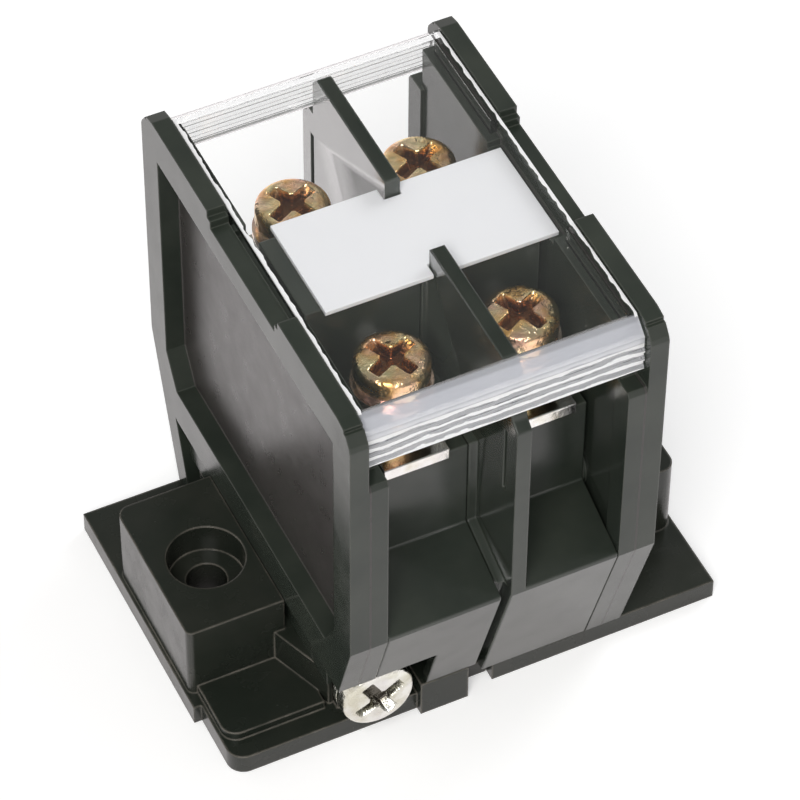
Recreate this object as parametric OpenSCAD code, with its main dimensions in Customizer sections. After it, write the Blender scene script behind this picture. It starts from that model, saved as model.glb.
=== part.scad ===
// Two-pole barrier terminal strip on two screw-down mounting feet.
// X runs along the strip, Y from front to back, Z up from the mounting surface.
// The front and back wire bays are alike, and the feet are half a turn apart.

/* [End walls] */
// Distance over the outer faces of the two end walls
strip_w = 71.2; // [70:0.1:74]
// Thickness of an end wall above its shelf
wall_t = 4.2; // [3.6:0.1:4.6]
// Width of the corner columns, measured from the outer face
column_w = 8.6; // [8:0.1:9]
// Depth of a corner column along Y
column_d = 6; // [4:0.1:7]
// Thickness of the recessed panel of an end wall
panel_t = 3.2; // [2.8:0.1:3.6]
// Depth of the recess in the outer face
panel_recess = 4.6; // [3:0.1:4.8]
// Width of the frame around the recess, at the front and back
frame_w = 8; // [6:0.5:12]
// Height of the frame above the recess
frame_top = 9.8; // [8:0.2:12]
// Height of the frame below the recess
frame_bottom = 10; // [8:0.5:14]

/* [Heights] */
// Height of the end walls at their front and back thirds
wall_top = 112.6; // [110:0.1:116]
// How far the middle third of an end wall lies below its top
middle_drop = 3.9; // [3:0.1:4.5]
// Height of the main lower edge of the end walls
wall_bottom = 25.4; // [24:0.1:28]
// Height of the thin lower lip of the end walls
lip_bottom = 16; // [14:0.5:18]
// Height of the barrier under the cover
barrier_top = 110; // [108:0.1:110.2]
// How far the shelf under the cover's sides lies below the barrier's top
shelf_drop = 4; // [3:0.1:5]
// How far the column tops lie below the barrier's top
column_drop = 15; // [14:0.5:18]
// Height of the ledge at the foot of the wire bays
ledge_z = 45; // [42:0.5:50]
// Height of the bay floors where they meet the terminal support
floor_back_z = 51.8; // [49:0.1:54]
// Height of the deck that carries the terminal bars
deck_z = 76.1; // [75:0.1:77.5]

/* [Depths] */
// Distance over the front and back faces
strip_d = 102.6; // [100:0.2:106]
// How far the terminal support stands back from the front face
support_in = 16.9; // [15.8:0.1:17]
// How far the skirts stand back where they meet the feet
skirt_in = 12.1; // [11.3:0.1:13.3]
// Length of each chamfer at the top corners of the walls
corner_run = 5.9; // [5:0.1:7]

/* [Poles] */
// Distance between the two poles' screws
pole_pitch = 29.3; // [28.8:0.1:29.6]
// How far the terminal screws stand in from the front of the support
screw_in = 10.4; // [9.6:0.1:11]
// Middle of the barrier between the poles
barrier_x = 3.35; // [3:0.05:3.6]
// Thickness of the barrier
barrier_t = 3.5; // [3:0.1:4]
// Depth of the upright slots near the ends of the barrier
slot_depth = 1; // [0.4:0.1:1.2]
// Width of the groove between the two housings
groove_w = 2.2; // [1.6:0.1:2.6]
// Wall thickness of the housings
shell_t = 2.4; // [2:0.1:3]

/* [Terminals] */
// Width of a terminal bar
bar_w = 15; // [13:0.1:17]
// How far a terminal bar stands out in front of its support
bar_out = 1.8; // [0.4:0.1:3]
// Thickness of a terminal bar
bar_t = 3; // [2.6:0.1:3.4]
// Thread diameter of the terminal and foot screws
thread_d = 7.9; // [6:0.1:8]
// Diameter of the terminal screw heads
head_d = 16.2; // [14:0.1:17]
// Height of the terminal screw heads
head_h = 5.2; // [4.6:0.1:6]
// Length of a terminal screw under its head
screw_l = 26; // [25.5:0.5:28]
// How far the terminal screws are backed off from their bars
screw_lift = 10.3; // [9:0.1:10.6]
// Outer diameter of the flat washers
washer_d = 17.4; // [16:0.1:18]
// Thickness of the flat washers
washer_t = 1.6; // [1.2:0.1:2]
// Outer diameter of the spring washers
spring_d = 14.8; // [13:0.1:15.5]
// Thickness of the spring washers
spring_t = 2; // [1.6:0.1:2.4]
// Width over the flats of the square nuts
nut_w = 13; // [12:0.1:14]
// Thickness of the square nuts under the bars
nut_t = 8; // [7:0.1:8.4]
// Thickness of the square nuts of the foot screws
foot_nut_t = 6.4; // [5:0.1:6.8]

/* [Cover and strip] */
// Thickness of the clear cover
cover_t = 2; // [1.6:0.1:2.4]
// How far the cover's flanges stand back from the front face
flange_in = 2.3; // [1.3:0.1:3.3]
// How far the flanges hang below the barrier's top
flange_drop = 10.6; // [9.6:0.1:11.4]
// Length along Y of the bevel over each flange
bevel_run = 4; // [2:0.1:4.6]
// Drop of the bevel over each flange
bevel_drop = 3.5; // [2:0.1:4]
// How far the flange's ribs stand out
rib_out = 0.5; // [0.2:0.1:0.8]
// Width of the marking strip
strip_label_w = 27; // [24:0.5:28]
// Thickness of the marking strip
label_t = 1.2; // [0.8:0.1:1.6]

/* [Feet] */
// Distance over the two feet along X
feet_l = 118.4; // [114:0.2:122]
// How far the foot plates stand back from the front face
foot_in = 12.4; // [11.3:0.1:13.3]
// Thickness of the foot plates
plate_t = 5.2; // [4.5:0.1:6]
// Height of the bosses round the mounting holes
boss_h = 25.6; // [24:0.1:27]
// How far a boss reaches in front of its mounting hole
boss_front = 18.2; // [16:0.2:19]
// How far a boss reaches behind its mounting hole
boss_back = 20.8; // [18:0.2:22]
// Corner radius of a boss
boss_r = 3; // [1:0.2:4]
// Distance between the two mounting holes
hole_span = 92; // [90:0.5:94]
// Diameter of a mounting hole
mount_hole_d = 9; // [6:0.5:10]
// Diameter of the counterbore over a mounting hole
counterbore_d = 17.2; // [15.5:0.1:18]
// Depth of the counterbore
counterbore_h = 7.6; // [5:0.1:10]
// Distance of a foot screw's axis from the middle of the strip
foot_screw_x = 25.5; // [24:0.1:26.5]
// Height of a foot screw's axis
foot_screw_z = 16.4; // [15:0.1:17.5]
// Diameter of the foot screw heads
foot_head_d = 16.6; // [14:0.1:17]
// Height of the foot screw heads
foot_head_h = 4.8; // [4:0.1:5.5]
// Length of a foot screw under its head
foot_screw_l = 16; // [14:0.5:18]

/* [Tie screws] */
// How far the tie screws stand in from the front of the support
tie_in = 6.4; // [6:0.1:8]
// Height of the tie screws
tie_z = 52; // [50.5:0.5:52.5]
// Diameter of the tie screws
tie_d = 4; // [3:0.1:4.4]
// Diameter of the tie screw heads
tie_head_d = 7.6; // [6:0.1:8]
// Width over the flats of the tie nuts
tie_nut_w = 7; // [6:0.1:7.4]
// Thickness of the tie nuts
tie_nut_t = 2.8; // [2:0.1:3]

/* [Fits] */
// Radial clearance of a screw in its nut
thread_clearance = 0.05; // [0.02:0.01:0.1]
// Radial clearance of a screw in a washer
washer_clearance = 0.3; // [0.2:0.05:0.5]
// Radial clearance of a screw in a drilled hole
drill_clearance = 0.5; // [0.3:0.05:0.8]
// Gap between pieces that lie side by side
seam = 0.1; // [0.05:0.01:0.15]
// Gap round the cover, the marking strip and the nuts
slip = 0.3; // [0.2:0.05:0.4]

/* [Hidden] */
$fn = 64;
eps = 0.01;
big = 300;

black = [0.13, 0.14, 0.13];
gold = [0.78, 0.62, 0.34];
zinc = [0.8, 0.81, 0.78];
brass = [0.83, 0.76, 0.55];

// Places along X
outer_x = strip_w / 2;
wall_in = outer_x - wall_t;
panel_out = outer_x - panel_recess;
panel_in = panel_out - panel_t;
lip_out = outer_x - 1.6;
lip_in = lip_out - 1.6;
column_in = outer_x - column_w;
housing_out = column_in - seam;
barrier_0 = barrier_x - barrier_t / 2;
barrier_1 = barrier_x + barrier_t / 2;
joint_x = barrier_0 - groove_w;
pole_mid = (barrier_1 + column_in - pole_pitch) / 2;
left_pole_x = pole_mid - pole_pitch / 2;
right_pole_x = pole_mid + pole_pitch / 2;

// Outer end of the tie screws, just past their nuts
tie_end = column_in + tie_nut_t;

// Places along Y
face_y = strip_d / 2;
support_y = face_y - support_in;
skirt_y = face_y - skirt_in;
flange_y = face_y - flange_in;
bar_y = support_y + bar_out;
lip_y = skirt_y - 3.2;
screw_y = support_y - screw_in;
tie_y = support_y - tie_in;
bridge_y = screw_y - washer_d / 2 - 4;
foot_y = face_y - foot_in;
step_y = 17.3;
step_run = 1.5;

// Places along Z
skirt_top = ledge_z - 1;
skirt_slope = (face_y - skirt_y) / (skirt_top - plate_t);
bar_top = deck_z + bar_t;
middle_z = wall_top - middle_drop;
shelf_z = barrier_top - shelf_drop;
column_top = barrier_top - column_drop;
flange_bottom = barrier_top - flange_drop;
label_z = shelf_z - 1.8;
cover_top = barrier_top + cover_t;
bevel_y = flange_y - bevel_run;
washer_z = bar_top + screw_lift;
spring_z = washer_z + washer_t;
head_z = spring_z + spring_t;
thread_r = thread_d / 2;

// Height at which the skirts stop short beside a foot screw
skirt_cut = wall_bottom - 0.4;
// Height of the skirt's tab beside a foot screw
tab_z = 10.2;
// The tab runs from here to the joint of the housings
tab_x = -12.6;

// A foot screw clamps the end wall's tongue to the foot's pedestal
tongue_y = foot_y - 0.4;
tongue_t = 3.3;
tongue_in = 17.4;
pedestal_y = tongue_y - tongue_t;
pedestal_d = 12;
foot_head_y = tongue_y + washer_t;
foot_nut_y = pedestal_y - 4;

// Y and Z of a point on the sloping skirt at height z
function skirt_at(z) = face_y - (skirt_top - z) * skirt_slope;

// Joins a list of Y-Z points, given for the back half, to their mirror image
function both_halves(points) = concat(
    points,
    [for (i = [len(points) - 1:-1:0]) [-points[i][0], points[i][1]]]
);

// A Y-Z outline extruded along X from x0 to x1
module slab(x0, x1, points) {
    translate([x0, 0, 0])
        rotate([90, 0, 90])
            linear_extrude(x1 - x0)
                polygon(points);
}

// A box given by its low and high corners
module block(low, high) {
    translate(low)
        cube(high - low);
}

// Outline of an end wall above the lip, back half first
wall_outline = both_halves([
    [0, middle_z],
    [step_y - step_run, middle_z],
    [step_y - step_run, middle_z + middle_drop / 2],
    [step_y, middle_z + middle_drop / 2],
    [step_y, wall_top],
    [face_y - corner_run, wall_top],
    [face_y - corner_run * 0.5, wall_top - 0.7],
    [face_y - corner_run * 0.5, wall_top - 1.6],
    [face_y - corner_run * 0.36, wall_top - 1.6],
    [face_y - 0.4, wall_top - 3.9],
    [face_y, wall_top - 5],
    [face_y, skirt_top],
    [skirt_at(wall_bottom + 1.6), wall_bottom + 1.6],
    [skirt_at(wall_bottom + 1.6) - 7.8, wall_bottom]
]);

// Outline of the recess in an end wall's outer face
panel_outline = both_halves([
    [0, wall_top - frame_top],
    [face_y - frame_w, wall_top - frame_top],
    [face_y - frame_w, skirt_top],
    [face_y - frame_w - 5, wall_bottom + frame_bottom]
]);

// Outline of the thicker part of an end wall, behind the recess
backing_outline = both_halves([
    [0, label_z],
    [step_y - 2, label_z],
    [step_y - 2, shelf_z],
    [face_y - corner_run + 1, shelf_z],
    [face_y - corner_run + 1, skirt_top],
    [skirt_at(wall_bottom + 2) - 3, wall_bottom]
]);

// One corner column, from the outer face inwards, on the +X wall
module column(side, low) {
    slab(outer_x - wall_t - eps, outer_x - 0, [
        [side * (face_y - column_d), skirt_top],
        [side * face_y, skirt_top],
        [side * skirt_at(low), low],
        [side * (skirt_at(low) - column_d), low]
    ]);
    slab(column_in, wall_in + eps, [
        [side * (face_y - column_d), column_top],
        [side * (face_y - 0.8), column_top],
        [side * face_y, column_top - 1.2],
        [side * face_y, skirt_top],
        [side * skirt_at(low), low],
        [side * (skirt_at(low) - column_d), low],
        [side * (face_y - column_d), skirt_top]
    ]);
}

// An end wall drawn as the +X one: the foot screw's tongue is at the back.
// The tie screw holes run from the inner face out to x = drill_to
module end_wall(drill_to) {
    difference() {
        union() {
            slab(wall_in, outer_x, wall_outline);
            slab(panel_in, wall_in + eps, backing_outline);
            column(-1, plate_t);
            column(1, skirt_cut);
            // lip below the main lower edge
            block([lip_in, -lip_y, lip_bottom], [lip_out, lip_y, wall_bottom + 1]);
            // bosses that the tie screws pass through
            for (side = [-1, 1])
                translate([column_in, side * tie_y, tie_z])
                    rotate([0, 90, 0])
                        cylinder(d = tie_head_d + 5, h = panel_out - column_in);
            // tongue under the foot screw's head
            block([tongue_in, pedestal_y, plate_t + 3], [wall_in + eps, tongue_y, skirt_cut - seam]);
            block([column_in, pedestal_y, skirt_cut - 1], [wall_in + eps, tongue_y, skirt_cut + 8]);
        }
        slab(panel_out, outer_x + 1, panel_outline);
        translate([foot_screw_x, 0, foot_screw_z])
            rotate([-90, 0, 0])
                cylinder(r = thread_r + drill_clearance, h = big);
        for (side = [-1, 1])
            translate([0, side * tie_y, tie_z])
                rotate([0, 90, 0])
                    cylinder(d = tie_d + drill_clearance, h = drill_to);
    }
}

module right_end_wall() {
    color(black)
        end_wall(outer_x);
}

module left_end_wall() {
    color(black)
        difference() {
            rotate([0, 0, 180])
                end_wall(tie_end + 0.3);
            // nut pockets, open towards the housing
            for (side = [-1, 1])
                translate([-column_in, side * tie_y, tie_z])
                    cube([2 * tie_nut_t, tie_nut_w + 2 * slip, tie_nut_w + 2 * slip], center = true);
        }
}

// Outline of a housing seen from its end
housing_outline = both_halves([
    [0, deck_z],
    [support_y, deck_z],
    [support_y, floor_back_z],
    [face_y, ledge_z],
    [face_y, skirt_top],
    [skirt_y, plate_t]
]);

// Outline of the hollow under a housing
hollow_outline = both_halves([
    [0, deck_z - shell_t],
    [support_y - shell_t, deck_z - shell_t],
    [support_y - shell_t, floor_back_z - shell_t],
    [face_y - shell_t - 0.6, ledge_z - shell_t],
    [skirt_y - shell_t - 0.6, plate_t - 1]
]);

// A housing between x0 and x1, with nut wells under the pole at pole_x
module housing(x0, x1, pole_x) {
    difference() {
        union() {
            difference() {
                slab(x0, x1, housing_outline);
                slab(x0 + shell_t, x1 - shell_t, hollow_outline);
            }
            // wells that hold the square nuts
            for (side = [-1, 1])
                block(
                    [pole_x - nut_w / 2 - 3, side * screw_y - nut_w / 2 - 3, deck_z - nut_t - 9],
                    [pole_x + nut_w / 2 + 3, side * screw_y + nut_w / 2 + 3, deck_z]
                );
            // bridge over the middle of the terminal bar
            difference() {
                block([x0, -bridge_y, deck_z - eps], [x1, bridge_y, label_z]);
                block(
                    [pole_x - bar_w / 2 - slip, -step_y, deck_z - 1],
                    [pole_x + bar_w / 2 + slip, step_y, bar_top]
                );
            }
        }
        for (side = [-1, 1]) {
            translate([pole_x, side * screw_y, 0])
                cylinder(r = thread_r + drill_clearance, h = big);
            block(
                [pole_x - nut_w / 2 - slip, side * screw_y - nut_w / 2 - slip, deck_z - nut_t],
                [pole_x + nut_w / 2 + slip, side * screw_y + nut_w / 2 + slip, deck_z + 1]
            );
            translate([x0 - 1, side * tie_y, tie_z])
                rotate([0, 90, 0])
                    cylinder(d = tie_d + drill_clearance, h = x1 - x0 + 2);
        }
    }
}

// Room for a foot screw, its tongue and pedestal, at the front left
module foot_screw_room() {
    block([-big, -big, -1], [tab_x, -pedestal_y + pedestal_d + 2, skirt_cut]);
    block([-big, -big, -1], [joint_x + big, -skirt_y + shell_t + 5, tab_z]);
}

module left_pole_housing() {
    color(black)
        difference() {
            housing(-housing_out, joint_x, left_pole_x);
            foot_screw_room();
        }
}

module right_pole_housing() {
    color(black)
        difference() {
            union() {
                housing(joint_x + seam, housing_out, right_pole_x);
                barrier();
            }
            // upright slots in both faces of the barrier
            for (side = [-1, 1])
                for (face_x = [barrier_0, barrier_1])
                    translate([face_x, side * (face_y - 5), (deck_z + column_top) / 2 - 3])
                        cube([2 * slot_depth, 1.2, column_top - deck_z - 1], center = true);
            // groove beside the barrier, below the bays
            for (side = [-1, 1]) {
                mirror([0, side < 0 ? 1 : 0, 0])
                    slab(joint_x, barrier_0, [
                        [face_y - 4, ledge_z + 1],
                        [face_y + 1, ledge_z + 1],
                        [face_y + 1, skirt_top],
                        [skirt_y, plate_t - 1],
                        [skirt_y - 4, plate_t - 1],
                        [face_y - 4, skirt_top]
                    ]);
            }
            rotate([0, 0, 180])
                foot_screw_room();
        }
}

// Barrier between the poles: the marking strip lies across its low middle
module barrier() {
    slab(barrier_0, barrier_1, both_halves([
        [0, label_z],
        [strip_label_w / 2 - 3, label_z],
        [strip_label_w / 2 - 3, barrier_top],
        [bevel_y - 1.2, barrier_top],
        [flange_y - cover_t - slip - 0.6, barrier_top - bevel_drop + 0.9],
        [flange_y - cover_t - slip - 0.6, flange_bottom - 1],
        [face_y - 2.6, flange_bottom - 1],
        [face_y - 2.2, flange_bottom - 2.4],
        [face_y, flange_bottom - 4.2],
        [face_y, skirt_top],
        [skirt_y, plate_t],
        [skirt_y - 5, plate_t],
        [face_y - 8, ledge_z - 1],
        [support_y - 1.2, floor_back_z - 1],
        [support_y - 1.2, deck_z - 1]
    ]));
}

// A boss seen from above, its outer corners rounded
boss_out = -feet_l / 2 + 0.8;
boss_outline = concat(
    [[-outer_x - seam, -boss_front], [-outer_x - seam, boss_back]],
    [for (a = [90:15:180]) [
        boss_out + boss_r * (1 + cos(a)),
        boss_back - boss_r * (1 - sin(a))
    ]],
    [for (a = [180:15:270]) [
        boss_out + boss_r / 2 * (1 + cos(a)),
        -boss_front + boss_r / 2 * (1 + sin(a))
    ]]
);

// A foot drawn as the left one: its screw is at the front
module foot() {
    difference() {
        union() {
            // plate under the block, with the locking tongue beside it
            block([-feet_l / 2, -foot_y + 17, 0], [-4.4, foot_y, plate_t]);
            block([-feet_l / 2 + 1.8, -foot_y + 4, 0], [-13.8, 0, plate_t]);
            block([-feet_l / 2 + 5.8, -foot_y, 0], [-13.8, 0, plate_t]);
            translate([-feet_l / 2 + 5.8, -foot_y + 4, 0])
                cylinder(r = 4, h = plate_t);
            block([-13.8 - eps, -foot_y - 1.9, 0], [-2.4, -foot_y + 6, tab_z - seam]);
            block([-2.4 - eps, -foot_y + 2.7, 0], [4.2, -foot_y + 6, tab_z - 6]);
            block([-13.8 - eps, -foot_y + 5, 0], [-4.4, 0, plate_t]);
            // boss round the mounting hole, and the pad before and behind it
            linear_extrude(boss_h)
                polygon(boss_outline);
            block([-feet_l / 2 + 2.6, -foot_y + 8.6, 0], [-outer_x + 2, -boss_front + eps, plate_t + 2.2]);
            block([-feet_l / 2 + 6.2, -foot_y + 5, 0], [-outer_x + 2, -boss_front + eps, plate_t + 2.2]);
            translate([-feet_l / 2 + 6.2, -foot_y + 8.6, 0])
                cylinder(r = 3.6, h = plate_t + 2.2);
            // gusset between the boss and the pedestal
            translate([0, 0, plate_t - eps])
                linear_extrude(lip_bottom - plate_t)
                    polygon([
                        [-outer_x - 2.6, -boss_front + eps],
                        [-lip_out + 1.6, -pedestal_y + 2],
                        [-lip_in + 1, -pedestal_y + 2],
                        [-lip_in + 1, -boss_front + eps]
                    ]);
            // seat under the end wall's lip
            block([-outer_x + 1.6, -boss_front, 0], [-wall_in, boss_back + 10, lip_bottom]);
            block([-outer_x - seam - eps, -boss_front, 0], [-outer_x + 1.7, boss_back, lip_bottom]);
            // pedestal that the foot screw draws the tongue against
            block([-wall_in + 0.3, -pedestal_y, 0], [-tongue_in, -pedestal_y + pedestal_d, skirt_cut - 1]);
        }
        translate([-hole_span / 2, 0, boss_h - counterbore_h])
            cylinder(d = counterbore_d, h = boss_h);
        translate([-hole_span / 2, 0, -1])
            cylinder(d = mount_hole_d, h = boss_h);
        translate([-foot_screw_x, 0, foot_screw_z])
            rotate([90, 0, 0])
                cylinder(r = thread_r + drill_clearance, h = big);
        // pocket for the square nut, open at the top
        block(
            [-foot_screw_x - nut_w / 2 - slip, -foot_nut_y - seam, foot_screw_z - nut_w / 2 - slip],
            [-foot_screw_x + nut_w / 2 + slip, -foot_nut_y + foot_nut_t + seam, big]
        );
    }
}

module left_foot() {
    color([0.2, 0.17, 0.16])
        foot();
}

module right_foot() {
    color([0.2, 0.17, 0.16])
        rotate([0, 0, 180])
            foot();
}

// Terminal bar of one pole, drilled for the front and back screws
module terminal_bar(pole_x) {
    difference() {
        block([pole_x - bar_w / 2, -bar_y, deck_z], [pole_x + bar_w / 2, bar_y, bar_top]);
        for (side = [-1, 1])
            translate([pole_x, side * screw_y, 0])
                cylinder(r = thread_r + drill_clearance, h = big);
    }
}

module left_terminal_bar() {
    color(brass)
        terminal_bar(left_pole_x);
}

module right_terminal_bar() {
    color(brass)
        terminal_bar(right_pole_x);
}

// Pan-head screw pointing down, its head standing on z = 0, with a cross recess
module pan_screw(head_dia, head_height, length) {
    crown = head_height * 0.36;
    recess_w = head_dia * 0.14;
    recess_l = head_dia * 0.62;
    difference() {
        union() {
            rotate_extrude()
                polygon(concat(
                    [[0, 0], [head_dia / 2, 0]],
                    [for (a = [0:15:75]) [
                        head_dia / 2 - crown * (1 - cos(a)),
                        head_height - crown + crown * sin(a)
                    ]],
                    [[0, head_height]]
                ));
            translate([0, 0, -length])
                cylinder(r = thread_r, h = length + eps);
        }
        for (turn = [0, 90])
            rotate([0, 0, turn])
                translate([-recess_l / 2, -recess_w / 2, head_height * 0.4])
                    cube([recess_l, recess_w, head_height]);
    }
}

module terminal_screw(pole_x, side) {
    color(gold)
        translate([pole_x, side * screw_y, head_z])
            rotate([0, 0, 25])
                pan_screw(head_d, head_h, screw_l);
}

module front_left_screw() { terminal_screw(left_pole_x, -1); }
module front_right_screw() { terminal_screw(right_pole_x, -1); }
module back_left_screw() { terminal_screw(left_pole_x, 1); }
module back_right_screw() { terminal_screw(right_pole_x, 1); }

// Flat ring standing on z = 0
module ring(outer_d, thickness) {
    difference() {
        cylinder(d = outer_d, h = thickness);
        translate([0, 0, -1])
            cylinder(r = thread_r + washer_clearance, h = thickness + 2);
    }
}

module terminal_washer(pole_x, side) {
    color(gold)
        translate([pole_x, side * screw_y, washer_z])
            ring(washer_d, washer_t);
}

module front_left_washer() { terminal_washer(left_pole_x, -1); }
module front_right_washer() { terminal_washer(right_pole_x, -1); }
module back_left_washer() { terminal_washer(left_pole_x, 1); }
module back_right_washer() { terminal_washer(right_pole_x, 1); }

// Split spring washer between the head and the flat washer
module terminal_spring_washer(pole_x, side) {
    split = 1;
    color(gold)
        translate([pole_x, side * screw_y, spring_z])
            difference() {
                ring(spring_d, spring_t);
                rotate([25, 0, 0])
                    translate([0, -split / 2, -5])
                        cube([spring_d, split, 12]);
            }
}

module front_left_spring_washer() { terminal_spring_washer(left_pole_x, -1); }
module front_right_spring_washer() { terminal_spring_washer(right_pole_x, -1); }
module back_left_spring_washer() { terminal_spring_washer(left_pole_x, 1); }
module back_right_spring_washer() { terminal_spring_washer(right_pole_x, 1); }

// Square nut standing on z = 0
module square_nut(thickness) {
    difference() {
        translate([-nut_w / 2, -nut_w / 2, 0])
            cube([nut_w, nut_w, thickness]);
        translate([0, 0, -1])
            cylinder(r = thread_r + thread_clearance, h = thickness + 2);
    }
}

module terminal_nut(pole_x, side) {
    color(zinc)
        translate([pole_x, side * screw_y, deck_z - nut_t])
            square_nut(nut_t);
}

module front_left_nut() { terminal_nut(left_pole_x, -1); }
module front_right_nut() { terminal_nut(right_pole_x, -1); }
module back_left_nut() { terminal_nut(left_pole_x, 1); }
module back_right_nut() { terminal_nut(right_pole_x, 1); }

// Turns a piece drawn up the Z axis to face the front at the left foot's screw
module at_left_foot(y) {
    translate([-foot_screw_x, -y, foot_screw_z])
        rotate([90, 0, 0])
            children();
}

module left_foot_screw() {
    color(zinc)
        at_left_foot(foot_head_y)
            rotate([0, 0, 30])
                pan_screw(foot_head_d, foot_head_h, foot_screw_l);
}

module left_foot_washer() {
    color(zinc)
        at_left_foot(tongue_y)
            ring(foot_head_d, washer_t);
}

module left_foot_nut() {
    color(zinc)
        at_left_foot(foot_nut_y - foot_nut_t)
            square_nut(foot_nut_t);
}

module right_foot_screw() { rotate([0, 0, 180]) left_foot_screw(); }
module right_foot_washer() { rotate([0, 0, 180]) left_foot_washer(); }
module right_foot_nut() { rotate([0, 0, 180]) left_foot_nut(); }

// Long screw through both housings, its head in the right wall's recess
module tie_screw(side) {
    color(zinc)
        translate([0, side * tie_y, tie_z])
            rotate([0, 90, 0]) {
                translate([0, 0, -tie_end])
                    cylinder(d = tie_d, h = panel_out + tie_end + eps);
                translate([0, 0, panel_out])
                    difference() {
                        cylinder(d = tie_head_d, h = 2.6);
                        for (turn = [0, 90])
                            rotate([0, 0, turn])
                                translate([-2.2, -0.5, 1.2])
                                    cube([4.4, 1, 3]);
                    }
            }
}

module front_tie_screw() { tie_screw(-1); }
module back_tie_screw() { tie_screw(1); }

module tie_nut(side) {
    color(zinc)
        translate([-tie_end, side * tie_y, tie_z])
            rotate([0, 90, 0])
                difference() {
                    translate([-tie_nut_w / 2, -tie_nut_w / 2, 0])
                        cube([tie_nut_w, tie_nut_w, tie_nut_t]);
                    translate([0, 0, -1])
                        cylinder(r = tie_d / 2 + thread_clearance, h = tie_nut_t + 2);
                }
}

module front_tie_nut() { tie_nut(-1); }
module back_tie_nut() { tie_nut(1); }

// Clear cover: a flat top with flanges at the front and back and thin sides
module cover() {
    side_x = wall_in - slip;
    color([0.85, 0.9, 0.95, 0.35])
        union() {
            slab(-side_x, side_x, both_halves([
                [0, cover_top],
                [bevel_y, cover_top],
                [flange_y, cover_top - bevel_drop],
                [flange_y, flange_bottom],
                [flange_y - cover_t, flange_bottom],
                [flange_y - cover_t, cover_top - bevel_drop - 0.8],
                [bevel_y - 0.8, cover_top - cover_t],
                [0, cover_top - cover_t]
            ]));
            // ribs along both flanges
            for (z = [flange_bottom + 0.2:2.4:flange_bottom + 6])
                slab(-side_x, side_x, [
                    [-flange_y - rib_out, z],
                    [-flange_y - rib_out, z + 0.8],
                    [-flange_y + eps, z + 1.1],
                    [-flange_y + eps, z]
                ]);
            for (z = [flange_bottom + 0.2:2.4:flange_bottom + 6])
                slab(-side_x, side_x, [
                    [flange_y - eps, z],
                    [flange_y - eps, z + 1.1],
                    [flange_y + rib_out, z + 0.8],
                    [flange_y + rib_out, z]
                ]);
            // sides that stand on the end walls' shelves
            for (side = [-1, 1])
                mirror([side < 0 ? 1 : 0, 0, 0])
                    block(
                        [side_x - 1.6, step_y, shelf_z],
                        [side_x, face_y - corner_run - 1, cover_top - cover_t + eps]
                    );
            for (side = [-1, 1])
                mirror([side < 0 ? 1 : 0, 0, 0])
                    block(
                        [side_x - 1.6, -face_y + corner_run + 1, shelf_z],
                        [side_x, -step_y, cover_top - cover_t + eps]
                    );
        }
}

// Marking strip, notched round the barrier's front and back parts
module marking_strip() {
    color("white")
        difference() {
            block(
                [-column_in + 3.8, -strip_label_w / 2, label_z],
                [wall_in - 1.4, strip_label_w / 2, label_z + label_t]
            );
            for (side = [-1, 1])
                mirror([0, side < 0 ? 1 : 0, 0])
                    block(
                        [barrier_0 - slip, strip_label_w / 2 - 3 - slip, label_z - 1],
                        [barrier_1 + slip, strip_label_w, label_z + 4]
                    );
        }
}

left_end_wall();
right_end_wall();
left_pole_housing();
right_pole_housing();
left_foot();
right_foot();
left_terminal_bar();
right_terminal_bar();
front_left_screw();
front_right_screw();
back_left_screw();
back_right_screw();
front_left_washer();
front_right_washer();
back_left_washer();
back_right_washer();
front_left_spring_washer();
front_right_spring_washer();
back_left_spring_washer();
back_right_spring_washer();
front_left_nut();
front_right_nut();
back_left_nut();
back_right_nut();
left_foot_screw();
right_foot_screw();
left_foot_washer();
right_foot_washer();
left_foot_nut();
right_foot_nut();
front_tie_screw();
back_tie_screw();
front_tie_nut();
back_tie_nut();
cover();
marking_strip();
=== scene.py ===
import math

import bmesh
import bpy
import numpy as np
from mathutils import Matrix, Vector


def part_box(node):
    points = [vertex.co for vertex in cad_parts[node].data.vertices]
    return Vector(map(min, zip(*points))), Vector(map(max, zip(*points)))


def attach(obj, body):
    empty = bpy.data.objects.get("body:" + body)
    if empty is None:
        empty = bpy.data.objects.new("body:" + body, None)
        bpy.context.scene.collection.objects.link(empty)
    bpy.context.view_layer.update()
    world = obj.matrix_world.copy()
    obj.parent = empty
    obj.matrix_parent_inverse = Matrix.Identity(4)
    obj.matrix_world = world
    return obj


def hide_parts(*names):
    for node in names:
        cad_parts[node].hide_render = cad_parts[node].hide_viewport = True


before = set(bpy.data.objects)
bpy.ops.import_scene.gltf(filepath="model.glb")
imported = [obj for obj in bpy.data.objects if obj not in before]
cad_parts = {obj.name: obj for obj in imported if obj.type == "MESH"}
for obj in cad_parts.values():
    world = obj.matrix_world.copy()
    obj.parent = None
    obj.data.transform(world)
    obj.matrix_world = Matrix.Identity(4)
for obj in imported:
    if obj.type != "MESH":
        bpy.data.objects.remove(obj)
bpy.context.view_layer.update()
print("frame loaded, nodes:", len(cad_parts))

mm = 0.001
sides = ("left", "right")
bays = ("front_left", "front_right", "back_left", "back_right")
coverLow, coverHigh = [[float(v) for v in corner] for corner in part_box("cover")]
# the tie screws' heads stand on the end walls' recessed panels
tieHeadHeight = 2.6 * mm
panelX = float(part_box("front_tie_screw")[1][0]) - tieHeadHeight


# helpers for node trees

def tone(red, green, blue):
    # screen colour 0..255 to the linear colour that a shader wants
    linear = []
    for value in (red, green, blue):
        share = value / 255
        linear.append(share / 12.92 if share <= 0.04045 else ((share + 0.055) / 1.055) ** 2.4)
    return (*linear, 1.0)


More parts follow.
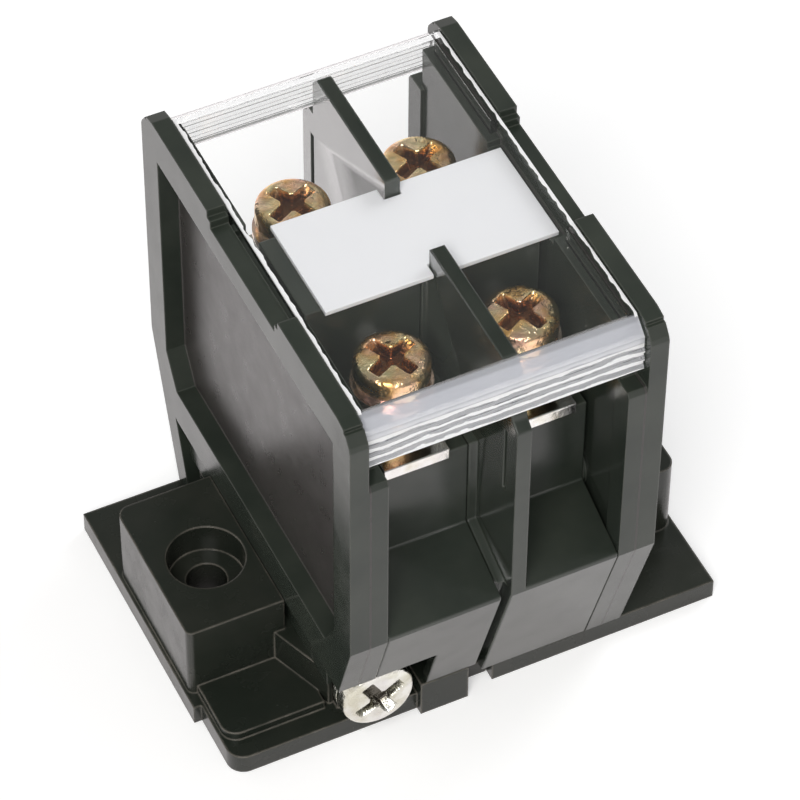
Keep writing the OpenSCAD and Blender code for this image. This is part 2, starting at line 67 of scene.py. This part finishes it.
def startMaterial(name):
    material = bpy.data.materials.new(name)
    material.use_nodes = True
    tree = material.node_tree
    tree.nodes.clear()
    output = tree.nodes.new("ShaderNodeOutputMaterial")
    shader = tree.nodes.new("ShaderNodeBsdfPrincipled")
    tree.links.new(shader.outputs["BSDF"], output.inputs["Surface"])
    return material, tree, shader


def objectPoint(tree):
    return tree.nodes.new("ShaderNodeTexCoord").outputs["Object"]


def separate(tree, vector):
    node = tree.nodes.new("ShaderNodeSeparateXYZ")
    tree.links.new(vector, node.inputs["Vector"])
    return node.outputs


def noise(tree, point, scale, detail):
    node = tree.nodes.new("ShaderNodeTexNoise")
    node.inputs["Scale"].default_value = scale
    node.inputs["Detail"].default_value = detail
    tree.links.new(point, node.inputs["Vector"])
    return node.outputs["Fac"]


def ramp(tree, value, source, target):
    # source and target are (low, high) pairs, and the result stays between the target's ends
    node = tree.nodes.new("ShaderNodeMapRange")
    tree.links.new(value, node.inputs["Value"])
    node.inputs["From Min"].default_value, node.inputs["From Max"].default_value = source
    node.inputs["To Min"].default_value, node.inputs["To Max"].default_value = target
    return node.outputs["Result"]


def mixColour(tree, factor, first, second):
    node = tree.nodes.new("ShaderNodeMix")
    node.data_type = "RGBA"
    tree.links.new(factor, node.inputs["Factor"])
    colourIn = [socket for socket in node.inputs if socket.type == "RGBA"]
    for socket, value in zip(colourIn, (first, second)):
        if isinstance(value, tuple):
            socket.default_value = value
        else:
            tree.links.new(value, socket)
    return [socket for socket in node.outputs if socket.type == "RGBA"][0]


def mixShaders(tree, factor, first, second):
    node = tree.nodes.new("ShaderNodeMixShader")
    for socket, value in zip(node.inputs, (factor, first, second)):
        tree.links.new(value, socket)
    return node.outputs["Shader"]


def arithmetic(tree, operation, first, second=None):
    node = tree.nodes.new("ShaderNodeMath")
    node.operation = operation
    for socket, value in zip(node.inputs, (first, second)):
        if value is None:
            continue
        if isinstance(value, (int, float)):
            socket.default_value = value
        else:
            tree.links.new(value, socket)
    return node.outputs["Value"]


def softEdges(tree, radius):
    # normal with its edges rounded by radius, and how near an edge the point is:
    # 1 where the cosine between the rounded and the true normal falls to edgeCosine
    edgeCosine = 0.82
    bevel = tree.nodes.new("ShaderNodeBevel")
    bevel.samples = 4
    bevel.inputs["Radius"].default_value = radius
    geometry = tree.nodes.new("ShaderNodeNewGeometry")
    dot = tree.nodes.new("ShaderNodeVectorMath")
    dot.operation = "DOT_PRODUCT"
    tree.links.new(bevel.outputs["Normal"], dot.inputs[0])
    tree.links.new(geometry.outputs["Normal"], dot.inputs[1])
    nearness = ramp(tree, dot.outputs["Value"], (1.0, edgeCosine), (0.0, 1.0))
    return bevel.outputs["Normal"], nearness


def grain(tree, height, strength, distance, normal=None):
    bump = tree.nodes.new("ShaderNodeBump")
    bump.inputs["Strength"].default_value = strength
    bump.inputs["Distance"].default_value = distance
    tree.links.new(height, bump.inputs["Height"])
    if normal is not None:
        tree.links.new(normal, bump.inputs["Normal"])
    return bump.outputs["Normal"]


def dress(material, *names):
    for name in names:
        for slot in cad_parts[name].material_slots:
            slot.material = material


# moulded plastics

mouldSurface = {
    "cloudScale": 55, "cloudDetail": 4.0, "cloudRange": (0.35, 0.7),
    "flowScale": 160, "flowDetail": 3.0, "flowRange": (0.3, 0.7), "edgeHighlightRange": (0.35, 0.65),
    "fineDetail": 2.0, "speckRange": (0.35, 0.65), "speckShare": (0.35, 1.0),
    "sinkScale": 70, "sinkDetail": 1.0, "sinkStrength": 0.2, "sinkDepth": 0.3 * mm,
    "panelReach": (0.2 * mm, 0.25 * mm), "panelSheenTone": tone(66, 60, 60), "panelDuller": 0.1,
    "squareToX": (0.9, 0.96), "coatRoughness": 0.16, "coatIndex": 2.1,
}
# each finish's edge tone is the colour of a painted highlight along its edges
housingFinish = {
    "dark": tone(43, 49, 43), "light": tone(56, 61, 54), "edge": tone(124, 126, 116),
    "rough": (0.16, 0.24), "index": 1.52,
    "grainScale": 2600, "grainDepth": 0.04 * mm, "grainStrength": 0.01,
    "edgeRadius": 0.5 * mm, "edgeHighlightShare": (0.2, 0.34),
}
# the walls' mould was less polished
wallFinish = dict(housingFinish, index=1.43)
footFinish = {
    "dark": tone(35, 40, 34), "light": tone(47, 49, 43), "edge": tone(172, 164, 152),
    "rough": (0.2, 0.3), "index": 1.42,
    "grainScale": 2400, "grainDepth": 0.06 * mm, "grainStrength": 0.04,
    "edgeRadius": 0.7 * mm, "edgeHighlightShare": (0.2, 0.6),
}


def mouldedPlastic(name, finish, hasPanel=False, hasPolish=False):
    surface = mouldSurface
    material, tree, shader = startMaterial(name)
    point = objectPoint(tree)
    cloud = noise(tree, point, surface["cloudScale"], surface["cloudDetail"])
    flow = noise(tree, point, surface["flowScale"], surface["flowDetail"])
    fine = noise(tree, point, finish["grainScale"], surface["fineDetail"])
    darkToLight = ramp(tree, cloud, surface["cloudRange"], (0.0, 1.0))
    base = mixColour(tree, darkToLight, finish["dark"], finish["light"])
    rough = ramp(tree, flow, surface["flowRange"], finish["rough"])
    if hasPanel:
        # the recessed panels of the end walls are spark-eroded: speckled and duller than the rest,
        # and paler in a pinkish tone that is painted sheen
        width = arithmetic(tree, "ABSOLUTE", separate(tree, point)["X"])
        fromPanel = arithmetic(tree, "ABSOLUTE", arithmetic(tree, "SUBTRACT", width, panelX))
        onPanel = ramp(tree, fromPanel, surface["panelReach"], (1.0, 0.0))
        speck = ramp(tree, fine, surface["speckRange"], surface["speckShare"])
        speckled = arithmetic(tree, "MULTIPLY", onPanel, speck)
        base = mixColour(tree, speckled, base, surface["panelSheenTone"])
        duller = arithmetic(tree, "MULTIPLY", onPanel, surface["panelDuller"])
        rough = arithmetic(tree, "ADD", rough, duller)
    rounded, nearEdge = softEdges(tree, finish["edgeRadius"])
    # edges are lightened toward the edge tone in patches: painted highlight lines
    edgeHighlightPatches = ramp(tree, flow, surface["edgeHighlightRange"], finish["edgeHighlightShare"])
    edgeHighlight = arithmetic(tree, "MULTIPLY", nearEdge, edgeHighlightPatches)
    tree.links.new(mixColour(tree, edgeHighlight, base, finish["edge"]), shader.inputs["Base Color"])
    tree.links.new(rough, shader.inputs["Roughness"])
    shader.inputs["IOR"].default_value = finish["index"]
    if hasPolish:
        # faces square to X were polished in the mould, so they mirror the table at a low angle
        normal = tree.nodes.new("ShaderNodeNewGeometry").outputs["Normal"]
        facing = arithmetic(tree, "ABSOLUTE", separate(tree, normal)["X"])
        sideways = ramp(tree, facing, surface["squareToX"], (0.0, 1.0))
        tree.links.new(sideways, shader.inputs["Coat Weight"])
        shader.inputs["Coat Roughness"].default_value = surface["coatRoughness"]
        shader.inputs["Coat IOR"].default_value = surface["coatIndex"]
    sink = noise(tree, point, surface["sinkScale"], surface["sinkDetail"])
    waved = grain(tree, sink, surface["sinkStrength"], surface["sinkDepth"], rounded)
    grained = grain(tree, fine, finish["grainStrength"], finish["grainDepth"], waved)
    tree.links.new(grained, shader.inputs["Normal"])
    return material


# plated metals

metalSurface = {
    "cloudScale": 260, "cloudDetail": 4.0, "cloudRange": (0.38, 0.64), "roughRange": (0.3, 0.7),
    "blushScale": 150, "blushDetail": 2.0, "blushRange": (0.45, 0.7), "blushShare": (0.0, 0.7),
    "dentScale": 520, "dentDetail": 3.0, "dentDepth": 0.6 * mm,
    "fineScale": 2600, "fineDetail": 3.0, "fineStrength": 0.15, "fineDepth": 0.05 * mm,
    "edgeRadius": 0.25 * mm,
}
goldFinish = {
    "pale": tone(255, 238, 186), "warm": tone(238, 186, 112), "pink": tone(248, 200, 186),
    "recessShade": tone(112, 60, 28), "rough": (0.1, 0.34), "dents": 0.75,
}
washerFinish = {
    "pale": tone(255, 236, 216), "warm": tone(240, 204, 178), "pink": tone(244, 206, 204),
    "rough": (0.14, 0.26), "dents": 0.15,
}
zincFinish = {
    "pale": tone(232, 233, 226), "warm": tone(205, 203, 186), "pink": tone(214, 212, 214),
    "recessShade": tone(66, 60, 50), "rough": (0.12, 0.3), "dents": 0.6,
}
barFinish = {
    "pale": tone(236, 236, 232), "warm": tone(214, 208, 192), "pink": tone(226, 224, 224),
    "rough": (0.1, 0.22), "dents": 0.1,
}


def platedMetal(name, finish, hasRecess=False):
    surface = metalSurface
    material, tree, shader = startMaterial(name)
    point = objectPoint(tree)
    cloud = noise(tree, point, surface["cloudScale"], surface["cloudDetail"])
    blush = noise(tree, point, surface["blushScale"], surface["blushDetail"])
    paleToWarm = ramp(tree, cloud, surface["cloudRange"], (0.0, 1.0))
    colour = mixColour(tree, paleToWarm, finish["pale"], finish["warm"])
    pinker = ramp(tree, blush, surface["blushRange"], surface["blushShare"])
    colour = mixColour(tree, pinker, colour, finish["pink"])
    if hasRecess:
        # painted shade in the cross and in the thread's roots, from the mesh's own attribute
        depth = tree.nodes.new("ShaderNodeAttribute")
        depth.attribute_name = "recessShade"
        colour = mixColour(tree, depth.outputs["Fac"], colour, finish["recessShade"])
        rounded = None
    else:
        rounded = softEdges(tree, surface["edgeRadius"])[0]
    tree.links.new(colour, shader.inputs["Base Color"])
    rough = ramp(tree, cloud, surface["roughRange"], finish["rough"])
    tree.links.new(rough, shader.inputs["Roughness"])
    shader.inputs["Metallic"].default_value = 1.0
    # rolled and tumbled surface: shallow dents under a fine grain
    dents = noise(tree, point, surface["dentScale"], surface["dentDetail"])
    fine = noise(tree, point, surface["fineScale"], surface["fineDetail"])
    dented = grain(tree, dents, finish["dents"], surface["dentDepth"], rounded)
    grained = grain(tree, fine, surface["fineStrength"], surface["fineDepth"], dented)
    tree.links.new(grained, shader.inputs["Normal"])
    return material


# marking strip

stripFinish = {
    "colour": tone(252, 253, 255), "shade": tone(246, 247, 251),
    "cloudScale": 60, "cloudDetail": 3.0, "edgeRadius": 0.2 * mm,
    "roughScale": 400, "roughDetail": 2.0, "roughRange": (0.3, 0.7), "rough": (0.36, 0.5),
    "fineScale": 3000, "fineDetail": 2.0, "fineStrength": 0.1, "fineDepth": 0.05 * mm,
}


def stripPlastic(name, finish):
    material, tree, shader = startMaterial(name)
    point = objectPoint(tree)
    cloud = noise(tree, point, finish["cloudScale"], finish["cloudDetail"])
    colour = mixColour(tree, cloud, finish["colour"], finish["shade"])
    tree.links.new(colour, shader.inputs["Base Color"])
    patches = noise(tree, point, finish["roughScale"], finish["roughDetail"])
    rough = ramp(tree, patches, finish["roughRange"], finish["rough"])
    tree.links.new(rough, shader.inputs["Roughness"])
    fine = noise(tree, point, finish["fineScale"], finish["fineDetail"])
    rounded = softEdges(tree, finish["edgeRadius"])[0]
    grained = grain(tree, fine, finish["fineStrength"], finish["fineDepth"], rounded)
    tree.links.new(grained, shader.inputs["Normal"])
    return material


# clear cover

coverFinish = {
    "tint": (1.0, 1.0, 1.0, 1.0), "index": 1.45, "rough": (0.0, 0.03), "noiseRange": (0.3, 0.7),
    "roughScale": 70, "roughDetail": 3.0,
    "waveScale": 40, "waveDetail": 1.0, "waveStrength": 0.1, "waveDepth": 0.5 * mm,
    "flangeReflection": tone(116, 119, 126), "bevel": tone(206, 208, 216), "white": tone(252, 252, 253),
    "flangeReflectionRough": 0.12, "flangeReflectionShare": 0.6, "ribShare": 0.3, "frontToBack": (1.0, 0.1),
    "ribPitch": 2.4 * mm, "ribBand": (0.29, 0.36),
    "ribScale": 150, "ribDetail": 3.0, "ribWander": (-0.16, 0.16),
    "bevelFoot": (7.2 * mm, 7.6 * mm), "flangeDepth": (4.6 * mm, 4.2 * mm),
    "topSkin": (0.5 * mm, 0.1 * mm), "topEdge": (0.7 * mm, 0.5 * mm),
    "lineScale": 260, "lineDetail": 2.0, "lineWidth": (0.4 * mm, 1.0 * mm),
}


def clearPlastic(name, finish):
    material, tree, shader = startMaterial(name)
    point = objectPoint(tree)
    place = separate(tree, point)
    width = arithmetic(tree, "ABSOLUTE", place["X"])
    depth = arithmetic(tree, "ABSOLUTE", place["Y"])

    def wandering(key, target):
        field = noise(tree, point, finish[key + "Scale"], finish[key + "Detail"])
        return ramp(tree, field, finish["noiseRange"], target)

    def below(value, top, margins, target):
        # ramp along a height or depth, between two distances short of its top
        return ramp(tree, value, tuple(top - margin for margin in margins), target)

    shader.inputs["Base Color"].default_value = finish["tint"]
    shader.inputs["IOR"].default_value = finish["index"]
    shader.inputs["Transmission Weight"].default_value = 1.0
    tree.links.new(wandering("rough", finish["rough"]), shader.inputs["Roughness"])
    wave = noise(tree, point, finish["waveScale"], finish["waveDetail"])
    waved = grain(tree, wave, finish["waveStrength"], finish["waveDepth"])
    tree.links.new(waved, shader.inputs["Normal"])
    # the flanges get a painted reflection: pale grey between white ribs of painted highlight,
    # which wander a little, and end at a pale bevel band of painted highlight
    flangeReflection = tree.nodes.new("ShaderNodeBsdfPrincipled")
    flangeReflection.inputs["Roughness"].default_value = finish["flangeReflectionRough"]
    fromFoot = arithmetic(tree, "SUBTRACT", place["Z"], coverLow[2])
    step = arithmetic(tree, "DIVIDE", fromFoot, finish["ribPitch"])
    step = arithmetic(tree, "ADD", step, wandering("rib", finish["ribWander"]))
    band = arithmetic(tree, "PINGPONG", step, 0.5)
    bevelFoot = tuple(coverLow[2] + height for height in finish["bevelFoot"])
    underBevel = ramp(tree, place["Z"], bevelFoot, (1.0, 0.0))
    rib = arithmetic(tree, "MULTIPLY", ramp(tree, band, finish["ribBand"], (1.0, 0.0)), underBevel)
    # the cover's two ends catch the light as thin white lines of uneven width
    fromEnd = arithmetic(tree, "SUBTRACT", coverHigh[0], width)
    onEnd = arithmetic(tree, "LESS_THAN", fromEnd, wandering("line", finish["lineWidth"]))
    onTop = below(place["Z"], coverHigh[2], finish["topEdge"], (0.0, 1.0))
    endLine = arithmetic(tree, "MULTIPLY", onEnd, onTop)
    whitened = arithmetic(tree, "MAXIMUM", rib, endLine)
    between = mixColour(tree, underBevel, finish["bevel"], finish["flangeReflection"])
    flangeReflectionColour = mixColour(tree, whitened, between, finish["white"])
    tree.links.new(flangeReflectionColour, flangeReflection.inputs["Base Color"])
    # how much of this painted reflection shows: on the flanges only, under the top, and less at
    # the back
    onFlange = below(depth, coverHigh[1], finish["flangeDepth"], (0.0, 1.0))
    underTop = below(place["Z"], coverHigh[2], finish["topSkin"], (1.0, 0.0))
    ribbed = arithmetic(tree, "MULTIPLY", rib, finish["ribShare"])
    solid = arithmetic(tree, "ADD", ribbed, finish["flangeReflectionShare"])
    inFront = ramp(tree, place["Y"], (-mm, mm), finish["frontToBack"])
    for share in (inFront, onFlange, underTop):
        solid = arithmetic(tree, "MULTIPLY", solid, share)
    amount = arithmetic(tree, "MAXIMUM", solid, endLine)
    body = mixShaders(tree, amount, shader.outputs["BSDF"], flangeReflection.outputs["BSDF"])
    # light passes straight through to what lies under the cover
    path = tree.nodes.new("ShaderNodeLightPath").outputs
    clear = tree.nodes.new("ShaderNodeBsdfTransparent").outputs["BSDF"]
    passing = arithmetic(tree, "MAXIMUM", path["Is Shadow Ray"], path["Is Diffuse Ray"])
    surface = mixShaders(tree, passing, body, clear)
    tree.links.new(surface, tree.get_output_node("ALL").inputs["Surface"])
    return material


housingPlastic = mouldedPlastic("blackMoulding", housingFinish, hasPolish=True)
wallPlastic = mouldedPlastic("wallMoulding", wallFinish, hasPanel=True)
footPlastic = mouldedPlastic("footMoulding", footFinish)
washerPlate = platedMetal("washerPlate", washerFinish)
goldScrewPlate = platedMetal("goldScrewPlate", goldFinish, hasRecess=True)
zincPlate = platedMetal("zincPlate", zincFinish)
zincScrewPlate = platedMetal("zincScrewPlate", zincFinish, hasRecess=True)
barPlate = platedMetal("barPlate", barFinish)
whitePlastic = stripPlastic("whitePlastic", stripFinish)
dress(clearPlastic("clearPlastic", coverFinish), "cover")
for side in sides:
    dress(wallPlastic, side + "_end_wall")
    dress(footPlastic, side + "_foot")
    dress(zincPlate, side + "_foot_washer", side + "_foot_nut")
for bay in bays:
    dress(washerPlate, bay + "_washer", bay + "_spring_washer")
    dress(zincPlate, bay + "_nut")
dress(zincPlate, "front_tie_screw", "back_tie_screw", "front_tie_nut", "back_tie_nut")
print("CAD nodes dressed")


# moulded and stamped pieces with really rounded edges

rounding = {
    "moulding": 0.35 * mm, "bar": 0.3 * mm, "strip": 0.2 * mm, "segments": 3,
    "sharpAngle": 28, "flatAngle": 1.5, "join": 0.03 * mm, "room": 2.3,
}


def addPiece(name, mesh, material):
    mesh.materials.clear()
    mesh.materials.append(material)
    piece = bpy.data.objects.new(name, mesh)
    bpy.context.scene.collection.objects.link(piece)
    return piece


def roundedCopy(nodeName, width, material):
    # the CAD solid with its triangles joined into flat faces; a sharp edge is rounded by width
    # where every edge that meets it is longer than room times that width
    shape = bmesh.new()
    shape.from_mesh(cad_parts[nodeName].data)
    bmesh.ops.remove_doubles(shape, verts=shape.verts, dist=rounding["join"])
    flat = math.radians(rounding["flatAngle"])
    bmesh.ops.dissolve_limit(shape, angle_limit=flat, verts=shape.verts, edges=shape.edges)
    sharp = math.radians(rounding["sharpAngle"])
    room = rounding["room"] * width
    weight = shape.edges.layers.float.new("bevel_weight_edge")
    for edge in shape.edges:
        roomy = all(near.calc_length() > room for end in edge.verts for near in end.link_edges)
        if edge.is_manifold and roomy and edge.calc_face_angle(0) > sharp:
            edge[weight] = 1.0
    mesh = bpy.data.meshes.new(nodeName + "_rounded")
    shape.to_mesh(mesh)
    shape.free()
    mesh.polygons.foreach_set("use_smooth", np.ones(len(mesh.polygons), dtype=bool))
    mesh.set_sharp_from_angle(angle=sharp)
    piece = addPiece(nodeName + "_rounded", mesh, material)
    bevel = piece.modifiers.new("rounding", "BEVEL")
    bevel.width = width
    bevel.segments = rounding["segments"]
    bevel.limit_method = "WEIGHT"
    bevel.use_clamp_overlap = False
    bevel.harden_normals = True
    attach(piece, "strip")
    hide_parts(nodeName)


for side in sides:
    housing, bar = side + "_pole_housing", side + "_terminal_bar"
    roundedCopy(housing, rounding["moulding"], housingPlastic)
    roundedCopy(bar, rounding["bar"], barPlate)
roundedCopy("marking_strip", rounding["strip"], whitePlastic)
print("edges rounded")


# screws with a cross recess and a real thread

terminalScrew = {
    "headHeight": 5.2 * mm, "crownShare": 0.36, "crownDrop": 0.9, "dome": 0.35 * mm,
    "rim": 0.3 * mm, "shankRadius": 3.95 * mm, "turn": 25,
    "pitch": 1.25 * mm, "threadDepth": 0.62 * mm, "threadStart": 0.8 * mm, "threadRun": 1.2 * mm,
    "tipRun": 0.2 * mm, "tipShare": 0.6, "taperRun": 1.4 * mm, "taperDepth": 0.8 * mm,
    "recessWidth": 3.0 * mm, "recessLength": 12.2 * mm, "recessDepth": 3.0 * mm,
    "armRun": 0.17, "wallRun": 0.3 * mm, "centreRadius": 2.6 * mm, "centreRun": 0.8 * mm,
    "recessShadeGain": 1.1, "recessShadeMost": 0.92, "threadShade": 0.25,
    "columns": 144, "faceRows": 46, "cornerRows": 8, "sideRows": 4, "shankRows": 189,
}
footScrew = dict(terminalScrew, headHeight=4.8 * mm, turn=30)
poleRadius = 0.001 * mm


def meshFromGrid(name, points, recessShade):
    # points is rows x columns x 3, closed round the columns; its first and last rows are
    # rings of poleRadius round the poles
    rows, columns = points.shape[:2]
    index = np.arange(rows * columns).reshape(rows, columns)
    nextColumn = np.roll(index, -1, axis=1)
    corners = [index[:-1], index[1:], nextColumn[1:], nextColumn[:-1]]
    quads = np.stack(corners, -1).reshape(-1, 4)
    mesh = bpy.data.meshes.new(name)
    mesh.vertices.add(rows * columns)
    mesh.vertices.foreach_set("co", points.reshape(-1))
    mesh.loops.add(quads.size)
    mesh.loops.foreach_set("vertex_index", quads.reshape(-1))
    mesh.polygons.add(len(quads))
    mesh.polygons.foreach_set("loop_start", np.arange(0, quads.size, 4))
    mesh.polygons.foreach_set("loop_total", np.full(len(quads), 4))
    mesh.update(calc_edges=True)
    attribute = mesh.attributes.new("recessShade", "FLOAT", "POINT")
    attribute.data.foreach_set("value", recessShade.reshape(-1).astype(np.float32))
    mesh.polygons.foreach_set("use_smooth", np.ones(len(quads), dtype=bool))
    return mesh


def rise(values, run):
    # 0 up to the value 0, then a straight climb to 1 at run
    return np.clip(values / run, 0, 1)


def screwPoints(settings, headRadius, length):
    # a profile (radius, level) turned about Z: a slightly domed face, a rounded corner,
    # the head's side, its underside and the shank
    angle = np.linspace(0, 2 * math.pi, settings["columns"], endpoint=False)[None, :]
    height, rim, shankRadius = settings["headHeight"], settings["rim"], settings["shankRadius"]
    crown = height * settings["crownShare"]
    face = np.linspace(poleRadius, headRadius - crown, settings["faceRows"])
    corner = np.linspace(0, math.pi / 2, settings["cornerRows"] + 1)[1:]
    cornerTop = height - settings["dome"] * (1 - crown / headRadius) ** 2
    radius = np.concatenate([face, headRadius - crown + crown * np.sin(corner)])
    level = np.concatenate([
        height - settings["dome"] * (face / headRadius) ** 2,
        cornerTop - crown * (1 - np.cos(corner)) * settings["crownDrop"],
    ])
    topRows = len(radius)
    side = np.linspace(level[-1], rim, settings["sideRows"] + 1)[1:]
    underside = [headRadius - rim, shankRadius]
    radius = np.concatenate([radius, np.full(len(side), headRadius), underside])
    level = np.concatenate([level, side, [0.0, 0.0]])
    headRows = len(radius)
    shank = np.linspace(0, -length, settings["shankRows"] + 1)[1:]
    radius = np.concatenate([radius, np.full(len(shank), shankRadius), [poleRadius]])
    level = np.concatenate([level, shank, [-length]])
    r = np.repeat(radius[:, None], angle.shape[1], 1)
    z = np.repeat(level[:, None], angle.shape[1], 1)
    # the shank's radius follows a triangle wave of z / pitch - angle / full turn, which fades
    # in under the head and out at the tapered tip
    wave = np.abs(((z / settings["pitch"] - angle / (2 * math.pi)) % 1.0) * 2 - 1)
    fromTip = z + length
    fade = rise(-z - settings["threadStart"], settings["threadRun"])
    fade = fade * np.clip(fromTip / settings["tipRun"] + settings["tipShare"], 0, 1)
    taper = settings["taperDepth"] * (1 - rise(fromTip, settings["taperRun"]))
    onShank = np.zeros_like(r)
    onShank[headRows:-1] = 1
    r = r - onShank * (settings["threadDepth"] * wave * fade + taper)
    x = r * np.cos(angle)
    y = r * np.sin(angle)

    def arm(along, across):
        # one bar of the cross: its floor slopes up to its ends, and its walls slope a little
        armRun = settings["recessLength"] * settings["armRun"]
        ends = rise(settings["recessLength"] / 2 - np.abs(along), armRun)
        return ends * rise(settings["recessWidth"] / 2 - np.abs(across), settings["wallRun"])

    middle = rise(settings["centreRadius"] - np.hypot(x, y), settings["centreRun"])
    cut = np.maximum(np.maximum(arm(x, y), arm(y, x)), middle)
    cut[topRows:] = 0
    z = z - settings["recessDepth"] * cut
    # the cross gets painted shade by its depth, and the thread at its roots
    recessShade = np.clip(cut * settings["recessShadeGain"], 0, settings["recessShadeMost"])
    recessShade[headRows:-1] = settings["threadShade"] * wave[headRows:-1]
    return np.stack([x, y, z], -1), recessShade


def addScrew(nodeName, settings, axis, material):
    # the screw is turned about its own axis, laid along axis and seated in the CAD screw's box
    low, high = (np.array(corner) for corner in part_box(nodeName))
    size = high - low
    along = int(np.argmax(size))
    headRadius = float(np.sort(size)[0]) / 2
    length = float(size[along]) - settings["headHeight"]
    points, recessShade = screwPoints(settings, headRadius, length)
    angle = math.radians(settings["turn"])
    cosine, sine = math.cos(angle), math.sin(angle)
    turn = np.array([[cosine, -sine, 0], [sine, cosine, 0], [0, 0, 1]])
    lay = np.array(Vector((0, 0, 1)).rotation_difference(Vector(axis)).to_matrix())
    placed = points @ turn.T @ lay.T
    seat = (high + low) / 2
    outwards = sum(axis)
    headEnd = high[along] if outwards > 0 else low[along]
    seat[along] = headEnd - outwards * settings["headHeight"]
    mesh = meshFromGrid(nodeName + "_threaded", placed + seat, recessShade)
    piece = addPiece(nodeName + "_threaded", mesh, material)
    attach(piece, nodeName)
    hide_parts(nodeName)


for bay in bays:
    addScrew(bay + "_screw", terminalScrew, (0, 0, 1), goldScrewPlate)
addScrew("left_foot_screw", footScrew, (0, -1, 0), zincScrewPlate)
addScrew("right_foot_screw", footScrew, (0, 1, 0), zincScrewPlate)
print("screws made")


# floor, world, lamps, camera

studio = {
    "floorHalf": 6.0, "floorColour": (0.92, 0.92, 0.92, 1.0), "floorRough": 0.9,
    "lift": (0.34, 0.34, 0.34, 1.0), "mirrorLift": (0.4, 0.362, 0.37, 1.0),
    "ambient": 0.5, "skyRange": (0.25, 0.75),
    "horizon": (1.0, 0.95, 0.96, 1.0), "zenith": (0.26, 0.27, 0.26, 1.0),
}
keyLamp = {
    "place": (-0.55, -0.75, 1.05), "size": 0.7, "power": 10.3, "tint": (1.0, 0.985, 0.965),
}
fillLamp = {
    "place": (0.9, 0.35, 0.8), "size": 0.6, "power": 3.2, "tint": (0.965, 0.98, 1.0),
}
lampAim = (0, 0, 0.05)
cameraSettings = {
    "azimuth": -26.1745, "elevation": 48.4075, "roll": 0.563, "distance": 1.0,
    "lens": 201.204, "sensor": 36, "across": 0.000765, "up": 0.03625, "clip": (0.05, 30),
}


def addFloor():
    half = studio["floorHalf"]
    corners = [(-half, -half, 0), (half, -half, 0), (half, half, 0), (-half, half, 0)]
    mesh = bpy.data.meshes.new("floor")
    mesh.from_pydata(corners, [], [(0, 1, 2, 3)])
    material, tree, shader = startMaterial("paleFloor")
    shader.inputs["Base Color"].default_value = studio["floorColour"]
    shader.inputs["Roughness"].default_value = studio["floorRough"]
    # lifted towards white where it is seen directly, in a mirror or through the clear cover
    path = tree.nodes.new("ShaderNodeLightPath").outputs
    through = path["Is Transmission Ray"]
    direct = arithmetic(tree, "SUBTRACT", 1.0, through)
    mirrored = arithmetic(tree, "MULTIPLY", path["Is Glossy Ray"], direct)
    glow = mixColour(tree, mirrored, studio["lift"], studio["mirrorLift"])
    tree.links.new(glow, shader.inputs["Emission Color"])
    seen = arithmetic(tree, "MAXIMUM", path["Is Camera Ray"], mirrored)
    seen = arithmetic(tree, "MAXIMUM", seen, through)
    tree.links.new(seen, shader.inputs["Emission Strength"])
    floor = addPiece("floor", mesh, material)


def addWorld():
    # white to the eye, a soft sky in mirrors and through the cover, and plain grey as light
    world = bpy.data.worlds.new("studioWorld")
    bpy.context.scene.world = world
    world.use_nodes = True
    tree = world.node_tree
    tree.nodes.clear()
    output = tree.nodes.new("ShaderNodeOutputWorld")
    path = tree.nodes.new("ShaderNodeLightPath").outputs
    direction = tree.nodes.new("ShaderNodeTexCoord").outputs["Generated"]
    ambient = tree.nodes.new("ShaderNodeBackground")
    ambient.inputs["Strength"].default_value = studio["ambient"]
    sky = tree.nodes.new("ShaderNodeBackground")
    height = ramp(tree, separate(tree, direction)["Z"], studio["skyRange"], (0.0, 1.0))
    skyColour = mixColour(tree, height, studio["horizon"], studio["zenith"])
    tree.links.new(skyColour, sky.inputs["Color"])
    white = tree.nodes.new("ShaderNodeBackground").outputs["Background"]
    bent = arithmetic(tree, "MAXIMUM", path["Is Glossy Ray"], path["Is Transmission Ray"])
    lit = mixShaders(tree, bent, ambient.outputs["Background"], sky.outputs["Background"])
    seen = mixShaders(tree, path["Is Camera Ray"], lit, white)
    tree.links.new(seen, output.inputs["Surface"])


def addLamp(name, settings):
    light = bpy.data.lights.new(name, "AREA")
    light.shape = "DISK"
    light.size = settings["size"]
    light.energy = settings["power"]
    light.color = settings["tint"]
    lamp = bpy.data.objects.new(name, light)
    lamp.location = settings["place"]
    beam = Vector(lampAim) - Vector(settings["place"])
    lamp.rotation_euler = beam.to_track_quat("-Z", "Y").to_euler()
    bpy.context.scene.collection.objects.link(lamp)


def addCamera(settings):
    azimuth, elevation = math.radians(settings["azimuth"]), math.radians(settings["elevation"])
    roll = math.radians(settings["roll"])
    level = math.cos(elevation)
    back = Vector((math.sin(azimuth) * level, -math.cos(azimuth) * level, math.sin(elevation)))
    levelRight = Vector((math.cos(azimuth), math.sin(azimuth), 0))
    levelUp = back.cross(levelRight)
    right = math.cos(roll) * levelRight + math.sin(roll) * levelUp
    up = -math.sin(roll) * levelRight + math.cos(roll) * levelUp
    data = bpy.data.cameras.new("camera")
    data.lens = settings["lens"]
    data.sensor_width = settings["sensor"]
    data.clip_start, data.clip_end = settings["clip"]
    camera = bpy.data.objects.new("camera", data)
    place = right * settings["across"] + up * settings["up"] + back * settings["distance"]
    turn = Matrix((right, up, back)).transposed().to_4x4()
    camera.matrix_world = Matrix.Translation(place) @ turn
    bpy.context.scene.collection.objects.link(camera)
    bpy.context.scene.camera = camera


addFloor()
addWorld()
addLamp("keyLamp", keyLamp)
addLamp("fillLamp", fillLamp)
addCamera(cameraSettings)
bpy.context.scene.view_settings.view_transform = "Standard"
print("studio ready")
